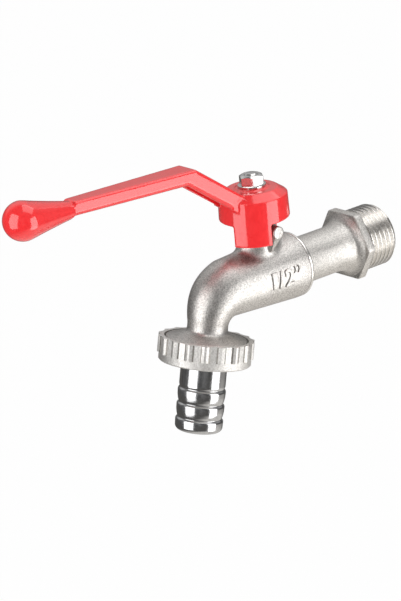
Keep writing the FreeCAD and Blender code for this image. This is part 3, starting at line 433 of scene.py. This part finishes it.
def makeRim():
    piece = turned("bodyRim", casting["rim"], casting["rimRounded"], steps=casting["rimSteps"])
    smoothed(piece)
    handOver(piece, "tap_body", "nickel_brass", [turnedNickel, paintedShade])
    for face in piece.data.polygons:
        bright = casting["rimBright"][0] < face.center.x / mm < casting["rimBright"][1]
        # the groove and the rim's outer rounding get painted shade
        face.material_index = 0 if bright or face.normal.x > casting["rimFace"] else 1


makeBody()
makeSizeMark()
makeRim()
print("body cast")


# Inlet connector: turned neck, rounded hexagon and a G1/2 thread wound as a real helix

connector = {
    "outline": [(-34.4, 7.4), (-34.4, 8.35), (-31.2, 8.35), (-31.2, 9.0), (-25.8, 9.0), (-24.55, 7.75),
                (-9.5, 7.75), (-7.6, 7.86), (-6.2, 8.1), (-5.1, 8.5), (-4.85, 8.45), (-4.5, 8.6), (-3.9, 9.1),
                (-3.4, 9.9), (-3.0, 10.75), (-2.6, 10.75), (-0.4, 9.9), (-0.4, 9.3),
                (11.1, 9.3), (11.5, 8.9), (11.5, 5.6), (-32.1, 5.6), (-32.1, 7.4)],
    "rounded": [(5, 0.4), (9, 0.12), (12, 0.5), (13, 0.5)],
    "flats": 22.0, "thick": 3.0, "cornerRound": 0.9, "edgeRound": 0.35,
    "hexBore": [(-3.5, 0), (-3.5, 6.4), (0.5, 6.4), (0.5, 0)],
    "crest": 10.4775, "root": 9.32, "hollow": 6.6,      # the thread's radii, outer, at its foot and inside, mm
    "threadStart": -0.3, "threadEnd": 11.5, "chamfer": 0.9, "pitch": 1.814,
    "tooth": [(0, 0), (0.14, 0), (0.42, 1), (0.58, 1), (0.86, 0)],  # share of the pitch, and 1 at the crest
    "threadSteps": 72,              # steps in a turn
    "earlyTurns": 2, "spareTurns": 3,   # turns wound before its start, and in all beyond its length
    "smoothAngle": 32,
    "threadSeen": 0.1,              # from here on the faces have the thread's turned nickel and painted shade, mm
    "paintedGrooveShade": 9.6,              # its grooves carry painted shade up to this radius, mm
    "flatFace": 0.99,               # a flat end face is turned along the axis by at least this cosine
}


def makeThread():
    # a toothed line wound round the X axis, trimmed to length by a turned blank
    start, end, pitch = connector["threadStart"], connector["threadEnd"], connector["pitch"]
    root, crest, hollow = connector["root"], connector["crest"], connector["hollow"]
    bevelled = crest - connector["chamfer"]
    turns = math.ceil((end - start) / pitch) + connector["spareTurns"]
    low = start - connector["earlyTurns"] * pitch
    line = [(low, 0)]
    for turn in range(turns):
        at = low + turn * pitch
        line += [(at + share * pitch, crest if high else root) for share, high in connector["tooth"]]
    line += [(low + turns * pitch, root), (low + turns * pitch, 0)]
    piece = drawnLine("inletThread", line)
    applied(piece, "SCREW", axis="X", screw_offset=pitch * mm, steps=connector["threadSteps"],
            render_steps=connector["threadSteps"], use_merge_vertices=False)
    startEditing(piece)
    weld()
    bpy.ops.mesh.select_all(action="SELECT")
    bpy.ops.mesh.fill_holes(sides=0)
    faceOutwards()
    stopEditing()
    blank = turned("threadBlank", [(start, hollow), (start, crest), (end - connector["chamfer"], crest),
                                   (end, bevelled), (end, hollow)])
    joined(piece, blank, "INTERSECT")
    return piece


def makeConnector():
    piece = turned("inletConnector", connector["outline"], connector["rounded"])
    hexagon = hexBlock(connector["flats"], connector["thick"], 0, connector["cornerRound"], 4,
                       location=(-connector["thick"] / 2 * mm, 0, 0), rotation=(0, math.radians(90), 0))
    startEditing(hexagon)
    selectWhere("EDGE", lambda e: abs(e.verts[0].co.x - e.verts[1].co.x) < weldGap)
    bpy.ops.mesh.bevel(offset=connector["edgeRound"] * mm, segments=3, affect="EDGES")
    faceOutwards()
    stopEditing()
    joined(hexagon, turned("hexBore", connector["hexBore"], closed=False), "DIFFERENCE")
    joined(piece, hexagon, "UNION")
    joined(piece, makeThread(), "UNION")
    smoothed(piece, connector["smoothAngle"])
    handOver(piece, "tap_body", "nickel_brass", [satinNickel, turnedNickel, paintedShadeNickel], "inlet_connector")
    for face in piece.data.polygons:
        threaded = face.center.x > connector["threadSeen"] * mm
        groove = math.hypot(face.center.y, face.center.z) < connector["paintedGrooveShade"] * mm
        flat = abs(face.normal.x) > connector["flatFace"]
        # the thread's grooves get painted shade, its crests and flanks turned nickel
        face.material_index = 0 if not threaded else 1 if flat or not groove else 2
        face.use_smooth = not flat


makeConnector()
print("inlet connector turned and threaded")


# Lever: the painted casting

lever = {
    "voxel": 0.27,                  # remesh size, mm
    "softening": 6,                 # smoothing turns that round the edges
    "smoothAngle": 70,
    "bend": (-65.6, 43.5),          # top of the arm where it bends, x and z, mm
    "foot": (-47.5, 30.4),          # top of the arm where it leaves the hub, mm
    "hubEdge": -52.5,               # nearer to the stem than this, the lower edges are the hub's, mm
    "strayed": 0.5,                 # points this far outside the arm's faces are the hub's, mm
    "end": (-113.4, 45.6), "halfWidth": (4.9, 3.2),     # the arm's outer end, half its width at bend and end
    "topRound": 1.25, "lowRound": 1.7,                  # rounding along the arm's upper and lower edges, mm
    "deep": (4.8, 5.9),             # depth of the arm past the bend and before it, mm
    "knob": -130.58,                # the knob's middle, where the cone is left as it is, mm
    "coneFlat": 0.17, "coneDrop": 0.6,                  # share that it thins and mm that it drops at the arm
    "coneFade": 1.2,                # both fade out over this length from the arm's end towards the hub, mm
    "coneAxis": (-113.4, 43.19), "armRise": 2.5,        # its axis starts here and rises, degrees
}


def depthBelow(across, up, start, end):     # distance under the line through two points of the arm's top
    slope = Vector((end[0] - start[0], end[1] - start[1])).normalized()
    return (up - start[1]) * slope.x - (across - start[0]) * slope.y


def roundArm(piece):
    bend, foot, end = lever["bend"], lever["foot"], lever["end"]
    for point in piece.data.vertices:
        across, side, up = (value / mm for value in point.co)
        if not end[0] < across < foot[0]:
            continue
        share = min(max((bend[0] - across) / (bend[0] - end[0]), 0), 1)
        half = lever["halfWidth"][0] + share * (lever["halfWidth"][1] - lever["halfWidth"][0])
        outer, rising = depthBelow(across, up, bend, end), depthBelow(across, up, foot, bend)
        underTop = min(outer, rising)
        aboveLow = max(lever["deep"][0] - outer, lever["deep"][1] - rising)
        for radius, depth, towards in ((lever["topRound"], underTop, -1), (lever["lowRound"], aboveLow, 1)):
            isHub = depth < -lever["strayed"] or (towards > 0 and across > lever["hubEdge"])
            if isHub:
                continue
            tall, wide = radius - depth, radius - (half - abs(side))
            reach = math.hypot(tall, wide)
            if tall > 0 and wide > 0 and reach > radius:
                pull = (reach - radius) / reach
                point.co.y -= math.copysign(wide * pull * mm, side)
                point.co.z += towards * tall * pull * mm


def slimCone(piece):                # thins the cone and lowers it, the more the nearer to the arm
    start, slope = lever["coneAxis"], math.tan(math.radians(lever["armRise"]))
    for point in piece.data.vertices:
        across = point.co.x / mm
        share = min((across - lever["knob"]) / (start[0] - lever["knob"]),
                    start[0] + lever["coneFade"] - across)
        if share > 0:
            share = min(share, 1)
            axis = start[1] + (start[0] - across) * slope
            above = point.co.z / mm - axis
            point.co.z = (axis + above * (1 - lever["coneFlat"] * share) - lever["coneDrop"] * share) * mm


def makeLever():
    piece = copyOfNode("lever", "leverCasting")
    remeshed(piece, lever["voxel"])
    roundArm(piece)
    slimCone(piece)
    softened(piece, lever["softening"])
    smoothed(piece, lever["smoothAngle"])
    handOver(piece, "valve", "red_paint", redPaint, "lever")


makeLever()
print("lever cast and painted")


# Hose tail: mirror chromed, with rounded barbs

tail = {                            # distance along the spout's axis and radius, mm
    "start": [(19.844, 5.4), (19.844, 12.5), (21.044, 12.5), (21.044, 7.5), (29.9, 7.5), (30.75, 7.24)],
    "barb": [(-0.15, 7.68), (0.25, 7.78), (2.10, 7.71), (3.40, 7.46), (4.30, 7.16)],    # from a crest on
    "crests": [31.394, 36.294, 41.194],
    "end": [(-0.15, 7.68), (0.25, 7.78), (2.9, 7.68), (3.85, 6.55), (3.85, 5.4)],   # from the last crest on
    "startRounded": [(1, 0.2), (2, 0.2), (4, 0.35), (5, 0.14)],
    "barbRounded": [0.13, 0.16, 0.40, 0.25, 0.14],
    "endRounded": [0.13, 0.16, 0.60, 0.60, 0.1],
    "smoothAngle": 40,
}


def makeTail():
    outline, rounded = list(tail["start"]), list(tail["startRounded"])
    for crest in tail["crests"]:
        last = crest == tail["crests"][-1]
        shape, radii = (tail["end"], tail["endRounded"]) if last else (tail["barb"], tail["barbRounded"])
        rounded += [(len(outline) + i, radius) for i, radius in enumerate(radii)]
        outline += [(crest + along, out) for along, out in shape]
    piece = turned("hoseTail", outline, rounded)
    settle(piece, spoutPlace)
    smoothed(piece, tail["smoothAngle"])
    handOver(piece, "tail", "chromed_brass", mirrorChrome, "hose_tail")


makeTail()
print("hose tail turned")


# Lever nut: a hexagon with turned bevels

leverNut = {
    "flats": 7.2, "low": 31.26, "high": 34.46, "cornerRound": 0.12,
    "spare": 0.4,                   # how much taller the hexagon is than the blank that trims it, mm
    "blank": [(31.26, 2.05), (31.26, 3.85), (31.5, 4.2), (33.75, 4.2), (34.3, 3.4), (34.46, 3.1), (34.46, 2.3),
              (34.2, 2.05)],
    "rounded": [(3, 0.15), (4, 0.15)],
    "smoothAngle": 25,
}


def makeLeverNut():
    tall = leverNut["high"] - leverNut["low"]
    piece = hexBlock(leverNut["flats"], tall + leverNut["spare"], 2, leverNut["cornerRound"], 3,
                     location=(stemX, 0, (leverNut["low"] + tall / 2) * mm), rotation=(0, 0, math.radians(30)))
    piece.name = "leverNut"
    blank = turned("nutBlank", leverNut["blank"], leverNut["rounded"])
    settle(blank, Matrix.Translation((stemX, 0, 0)) @ Matrix.Rotation(math.radians(-90), 4, "Y"))
    joined(piece, blank, "INTERSECT")
    smoothed(piece, leverNut["smoothAngle"])
    handOver(piece, "valve", "plated_steel", brightSteel, "lever_nut")


makeLeverNut()
print("lever nut cut")


# Union nut: a copy of its solid with softened edges, a raised rim, and painted shade on its ribs' feet and
# hole wall

ringNut = {
    "edge": 0.14,                   # width of its softened edges, mm
    "rimDepth": 0.05, "rimRise": 0.4,   # points this near to its top are raised by so much, mm
    "flank": 0.35,                  # a rib's flank is turned sideways by at least this cosine
    "hole": -0.5,                   # and the hole's wall outwards by at most this one
    "paintedShadeRadius": 15.2,             # the ribs' feet carry painted shade up to here, mm
}
# faces that meet at less than the first angle become one, those past the second get a soft edge, degrees
edges = {"flatWithin": 0.5, "softFrom": 24}


def softCopy(nodeName, pieceName, body, slotName, material, edge=0.0, change=None):
    piece = copyOfNode(nodeName, pieceName)
    if change:
        change(piece)
    if edge:
        startEditing(piece)
        bpy.ops.mesh.dissolve_limited(angle_limit=math.radians(edges["flatWithin"]))
        stopEditing()
        applied(piece, "BEVEL", width=edge * mm, segments=3, limit_method="ANGLE",
                angle_limit=math.radians(edges["softFrom"]), use_clamp_overlap=True,
                miter_outer="MITER_ARC")
    smoothed(piece)
    handOver(piece, body, slotName, material, nodeName)
    return piece


def raiseRim(piece):                # the nut's top rim stands a little above the collar's upper edge
    along = [(point.co - spoutStart).dot(spoutDown) for point in piece.data.vertices]
    for point, place in zip(piece.data.vertices, along):
        if place < min(along) + ringNut["rimDepth"] * mm:
            point.co -= spoutDown * ringNut["rimRise"] * mm


def aroundSpout(place):             # outwards from the spout's axis, sideways round it, and how far out
    out = place - spoutStart
    out -= spoutDown * out.dot(spoutDown)
    return out.normalized(), spoutDown.cross(out).normalized(), out.length


def isFlank(normal, place):
    return abs(normal.dot(aroundSpout(place)[1])) > ringNut["flank"]


def shadeRibs(piece):               # the hole's wall and the ribs' feet get painted shade
    startEditing(piece)
    selectWhere("FACE", lambda face: isFlank(face.normal, face.calc_center_median()))
    bpy.ops.mesh.subdivide(number_cuts=2)
    stopEditing()
    for face in piece.data.polygons:
        out, _, distance = aroundSpout(face.center)
        foot = distance < ringNut["paintedShadeRadius"] * mm and isFlank(face.normal, face.center)
        # painted shade on the ribs' feet and on the hole's wall
        face.material_index = 1 if foot or face.normal.dot(out) < ringNut["hole"] else 0


unionNut = softCopy("union_nut", "unionNut", "coupling_nut", "nickel_brass", [ribNickel, paintedShadeNickel],
                    ringNut["edge"], raiseRim)
shadeRibs(unionNut)
print("union nut finished")


# Pieces whose solids are already right, with the width of their softened edges, mm

plainPieces = [
    ("lever_washer", "leverWasher", "valve", "plated_steel", brightSteel, 0.08),
    ("stem", "valveStem", "valve", "plated_stem", brightSteel, 0.1),
    ("gland_nut", "glandNut", "tap_body", "nickel_brass", turnedNickel, 0.1),
    ("ball", "sealingBall", "valve", "chromed_brass", mirrorChrome, 0),
    ("inlet_seat", "inletSeat", "tap_body", "ptfe", whitePtfe, 0),
    ("outlet_seat", "outletSeat", "tap_body", "ptfe", whitePtfe, 0),
    ("thrust_washer", "thrustWasher", "tap_body", "ptfe", whitePtfe, 0),
    ("stem_packing", "stemPacking", "tap_body", "ptfe", whitePtfe, 0),
    ("union_gasket", "unionGasket", "tail", "rubber", blackRubber, 0.1),
]
for plain in plainPieces:
    softCopy(*plain)
print("fasteners and inner pieces finished")


# Floor, light and camera

studio = {
    "floorHeight": -600.0,          # mm below the inlet's axis
    "floorSize": 6.0,               # m
    "floorSeen": 0.985,             # share of plain white in what the camera sees of the floor
    "floorMirrored": (0.80, 0.12),  # tone in which metal and gloss see it, under the tap and further out
    "floorTint": (1.0, 0.97, 0.92), # colour in which they see it
    "floorMiddle": (0.23, -0.26),   # middle of the bright patch, m
    "floorPatch": (0.55, 1.10),     # distance from it where the one runs into the other, m
    "backdrop": (0.621, 0.784),     # direction of the bright backdrop, away from the camera
    "backdropEdge": (0.25, 0.60),   # where it fades out sideways, as the cosine of the angle to it
    "backdropLow": (0.12, 0.30),    # where it fades out downwards
    "dark": (0.08, 0.26),           # brightness of the dark room, least and most
    "darkScale": 2.2, "darkNoise": (0.35, 0.65),    # how finely it changes, and the noise that it follows
    "bright": (0.46, 0.80),         # brightness of the backdrop, at the bottom and at the top
    "brightHeight": (0.35, 0.75),   # where the one runs into the other
    "softRoom": 0.42,               # even brightness that lights matt surfaces
    "lamps": [                      # direction, distance, width, height (m), watts
        ((-0.975, 0.024, 0.200), 0.80, 0.70, 1.04, 5.1),
        ((0.386, -0.900, -0.140), 0.80, 0.60, 0.94, 4.7),
        ((0.350, -0.220, 0.910), 0.80, 0.78, 0.74, 2.6),
    ],
    "lampsAim": (-0.05, 0, 0),      # m
}


def mirroredRays(nodes, links, path):   # 1 for what metal and gloss see, 0 for all else
    either = nodes.new("ShaderNodeMath")
    either.operation = "MAXIMUM"
    links.new(path.outputs["Is Glossy Ray"], either.inputs[0])
    links.new(path.outputs["Is Transmission Ray"], either.inputs[1])
    return either.outputs["Value"]


def mixed(nodes, links, share, first, second):      # the first shader at share 0, the second at 1
    mix = nodes.new("ShaderNodeMixShader")
    links.new(share, mix.inputs["Fac"])
    links.new(first, mix.inputs[1])
    links.new(second, mix.inputs[2])
    return mix.outputs["Shader"]


def whiteShader(nodes, kind, strength=1.0):
    shader = nodes.new(kind)
    shader.inputs["Color"].default_value = (1, 1, 1, 1)
    shader.inputs["Strength"].default_value = strength
    return shader.outputs[0]


def makeRoom():
    # metal and gloss see a dark room with a bright backdrop behind the tap, matt surfaces an even glow
    world = bpy.data.worlds.new("studio")
    bpy.context.scene.world = world
    world.use_nodes = True
    nodes, links = world.node_tree.nodes, world.node_tree.links
    path = nodes.new("ShaderNodeLightPath")
    direction = nodes.new("ShaderNodeTexCoord")
    towards = nodes.new("ShaderNodeVectorMath")
    towards.operation = "DOT_PRODUCT"
    towards.inputs[1].default_value = (*studio["backdrop"], 0)
    links.new(direction.outputs["Generated"], towards.inputs[0])
    split = nodes.new("ShaderNodeSeparateXYZ")
    links.new(direction.outputs["Generated"], split.inputs["Vector"])
    height = split.outputs["Z"]
    both = nodes.new("ShaderNodeMath")
    both.operation = "MULTIPLY"
    links.new(levels(nodes, links, towards.outputs["Value"], *studio["backdropEdge"]), both.inputs[0])
    links.new(levels(nodes, links, height, *studio["backdropLow"]), both.inputs[1])
    uneven = nodes.new("ShaderNodeTexNoise")
    uneven.inputs["Scale"].default_value = studio["darkScale"]
    uneven.inputs["Detail"].default_value = 1.0
    links.new(direction.outputs["Generated"], uneven.inputs["Vector"])
    dark = levels(nodes, links, uneven.outputs["Fac"], *studio["darkNoise"], *studio["dark"])
    bright = levels(nodes, links, height, *studio["brightHeight"], *studio["bright"])
    tone = nodes.new("ShaderNodeMix")
    links.new(both.outputs["Value"], tone.inputs["Factor"])
    links.new(dark, tone.inputs["A"])
    links.new(bright, tone.inputs["B"])
    room = nodes["Background"]
    links.new(tone.outputs["Result"], room.inputs["Color"])
    glow = whiteShader(nodes, "ShaderNodeBackground", studio["softRoom"])
    white = whiteShader(nodes, "ShaderNodeBackground")
    lit = mixed(nodes, links, mirroredRays(nodes, links, path), glow, room.outputs["Background"])
    seen = mixed(nodes, links, path.outputs["Is Camera Ray"], lit, white)
    links.new(seen, nodes["World Output"].inputs["Surface"])


def makeFloor():
    bpy.ops.object.select_all(action="DESELECT")
    bpy.ops.mesh.primitive_plane_add(size=studio["floorSize"], location=(0, 0, studio["floorHeight"] * mm))
    floor = bpy.context.object
    floor.name = "floor"
    paper, shader = newMaterial("whitePaper", **{"Base Color": (0.86, 0.86, 0.855, 1), "Roughness": 0.8})
    nodes, links = paper.node_tree.nodes, paper.node_tree.links
    path = nodes.new("ShaderNodeLightPath")
    white = whiteShader(nodes, "ShaderNodeEmission")
    whiteness = levels(nodes, links, path.outputs["Is Camera Ray"], 0, 1, 0, studio["floorSeen"])
    seen = mixed(nodes, links, whiteness, shader.outputs["BSDF"], white)
    place = nodes.new("ShaderNodeTexCoord")
    distance = nodes.new("ShaderNodeVectorMath")
    distance.operation = "DISTANCE"
    distance.inputs[1].default_value = (*studio["floorMiddle"], 0)
    links.new(place.outputs["Object"], distance.inputs[0])
    patch = nodes.new("ShaderNodeEmission")
    patch.inputs["Color"].default_value = (*studio["floorTint"], 1)
    tone = levels(nodes, links, distance.outputs["Value"], *studio["floorPatch"], *studio["floorMirrored"])
    links.new(tone, patch.inputs["Strength"])
    lit = mixed(nodes, links, mirroredRays(nodes, links, path), seen, patch.outputs["Emission"])
    links.new(lit, nodes["Material Output"].inputs["Surface"])
    floor.data.materials.append(paper)


def makeLamps():
    middle = Vector(studio["lampsAim"])
    for direction, distance, width, height, watts in studio["lamps"]:
        data = bpy.data.lights.new("softBox", "AREA")
        data.shape = "RECTANGLE"
        data.size, data.size_y = width, height
        data.energy = watts
        lamp = bpy.data.objects.new("softBox", data)
        aim = Vector(direction).normalized()
        lamp.location = middle + aim * distance
        lamp.rotation_euler = aim.to_track_quat("Z", "Y").to_euler()
        bpy.context.scene.collection.objects.link(lamp)


view = {
    "place": (-0.65724, -0.74603, 0.33567),     # m
    "turn": (70.4453, 5.0319, -40.2182),        # degrees
    "lens": 189.78, "sensor": 36,   # mm
    "clip": (0.05, 20),             # m
}


def makeCamera():
    data = bpy.data.cameras.new("camera")
    data.lens = view["lens"]
    data.sensor_width = view["sensor"]
    data.clip_start, data.clip_end = view["clip"]
    holder = bpy.data.objects.new("camera", data)
    holder.location = view["place"]
    holder.rotation_euler = Euler([math.radians(angle) for angle in view["turn"]])
    bpy.context.scene.collection.objects.link(holder)
    bpy.context.scene.camera = holder
    bpy.context.scene.view_settings.view_transform = "Standard"


makeRoom()
makeFloor()
makeLamps()
makeCamera()
print("studio and camera set")
